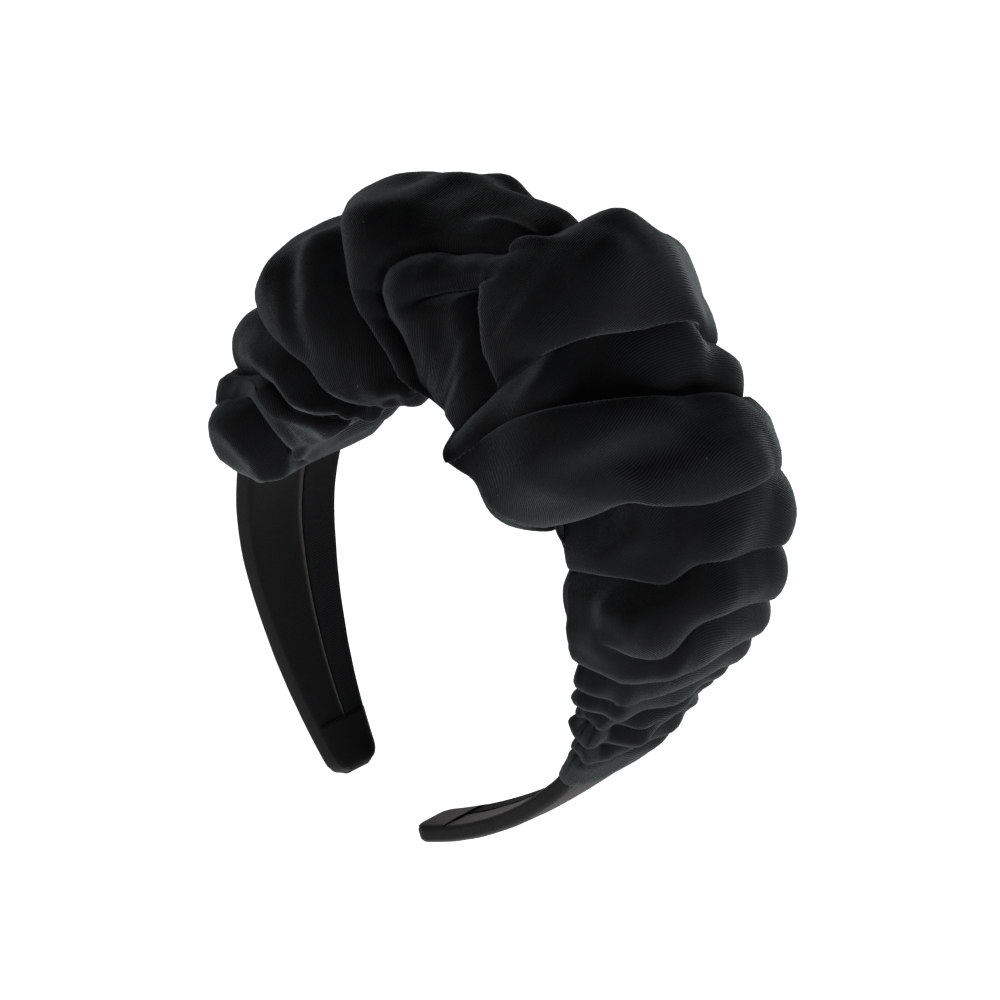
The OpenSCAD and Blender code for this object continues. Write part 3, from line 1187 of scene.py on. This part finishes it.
@dataclass(frozen=True)
class Studio:
    """The floor, the lights and the camera, in metres and degrees."""

    floor_height: float = -0.1475
    floor_size: float = 6.0
    floor_glow: float = 1.15
    sky: float = 0.12
    azimuth: float = 32.7
    elevation: float = 35.1
    roll: float = 16.9
    distance: float = 1.233
    lens: float = 168.3
    sensor: float = 36
    middle: Triple = (-0.0017, 0.0103, -0.0443)
    lit: Triple = (0, 0, -0.05)

    def camera(self) -> None:
        """Makes the camera."""
        a, e, r = (math.radians(x) for x in (self.azimuth, self.elevation, self.roll))
        back = Vector((math.sin(a) * math.cos(e), -math.cos(a) * math.cos(e), math.sin(e)))
        right = Vector((math.cos(a), math.sin(a), 0))
        up = back.cross(right)
        right, up = right * math.cos(r) + up * math.sin(r), up * math.cos(r) - right * math.sin(r)
        data = bpy.data.cameras.new("camera")
        data.lens, data.sensor_width = self.lens, self.sensor
        data.clip_start, data.clip_end = 0.01, 50
        camera = add_to_scene("camera", data)
        turned = Matrix((right, up, back)).transposed().to_4x4()
        moved = Matrix.Translation(Vector(self.middle) + back * self.distance)
        camera.matrix_world = moved @ turned
        bpy.context.scene.camera = camera

    def light(self, name: str, place: Triple, size: float, power: float) -> None:
        """A square soft light that looks at the headband."""
        data = bpy.data.lights.new(name, "AREA")
        data.energy, data.size = power, size
        lamp = add_to_scene(name, data)
        lamp.location = place
        way = Vector(self.lit) - Vector(place)
        lamp.rotation_euler = way.to_track_quat("-Z", "Y").to_euler()

    def build(self) -> None:
        """Sets up the whole studio."""
        bm = bmesh.new()
        bmesh.ops.create_grid(bm, x_segments=2, y_segments=2, size=self.floor_size)
        bmesh.ops.translate(bm, verts=bm.verts, vec=(0, 0, self.floor_height))
        mesh = bpy.data.meshes.new("floor")
        bm.to_mesh(mesh)
        bm.free()
        pale = new_material("pale_floor").finish(
            Base_Color=(0.85, 0.85, 0.85, 1),
            Roughness=0.9,
            Specular_IOR_Level=0.1,
            Emission_Color=(1, 1, 1, 1),
            Emission_Strength=self.floor_glow,
        )
        mesh.materials.append(pale)
        floor = add_to_scene("floor", mesh)
        world = bpy.data.worlds.new("studio")
        world.use_nodes = True
        background = world.node_tree.nodes["Background"]
        background.inputs["Color"].default_value = (1, 1, 1, 1)
        background.inputs["Strength"].default_value = self.sky
        bpy.context.scene.world = world
        self.light("side_light", (1.35, -0.15, 0.05), 0.6, 22)
        self.light("front_light", (-0.3, -1.4, 0.1), 0.7, 3)
        bpy.context.scene.view_settings.view_transform = "Standard"
        self.camera()


def grey(value: float) -> Triple:
    """A neutral colour."""
    return value, value, value


def dress_cad_nodes() -> None:
    """Gives the CAD nodes that stay in view their finishes."""
    elastic = Plain("elastic_cord", grey(0.004), grey(0.012), 0.8, 900, 0.1).build()
    thread = Plain("tack_thread", (0.006, 0.006, 0.0062), grey(0.016), 0.8, 1500, 0.08).build()
    for side in ("left", "right"):
        for node, finish in ((f"gather_cord_{side}", elastic), (f"tack_stitches_{side}", thread)):
            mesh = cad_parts[node].data
            mesh.materials.clear()
            mesh.materials.append(finish)


def main() -> None:
    """Builds the headband and its studio."""
    logging.basicConfig(level=logging.INFO, format="%(name)s: %(message)s")
    sleeve_velvet = Velvet("sleeve_velvet").build()
    band_velvet = Velvet(
        "band_velvet", sheen=0.22, tint=(1.0, 0.95, 0.93), rib_pitch=0.6, rib_depth=0.05
    ).build()
    ribbon = Ribbon("lining_ribbon").build()
    plastic = Plain(
        "hoop_plastic", (0.01, 0.01, 0.011), (0.02, 0.02, 0.021), 0.4, 300, 0.02
    ).build()
    foam = Plain("foam", (0.5, 0.5, 0.48), (0.7, 0.7, 0.68), 0.9, 1200, 0.2).build()
    fuzz = Plain(
        "pile_fuzz", (0.004, 0.0044, 0.0048), (0.016, 0.017, 0.018), 0.8, 500, 0.01
    ).build()
    lint = Plain("lint", grey(0.12), grey(0.3), 0.8, 500, 0.01).build()
    dress_cad_nodes()
    pieces = Band().build(band_velvet, ribbon, plastic, foam)
    sleeve = Sleeve()
    outer = sleeve.rows()
    pieces.append(sleeve.build(outer, sleeve_velvet))
    pieces.append(FUZZ.build(outer, fuzz))
    pieces.append(LINT.build(outer, lint))
    Studio().build()
    for piece in pieces:
        log.info("%s: %d faces", piece.name, len(piece.data.polygons))


if __name__ == "__main__":
    main()
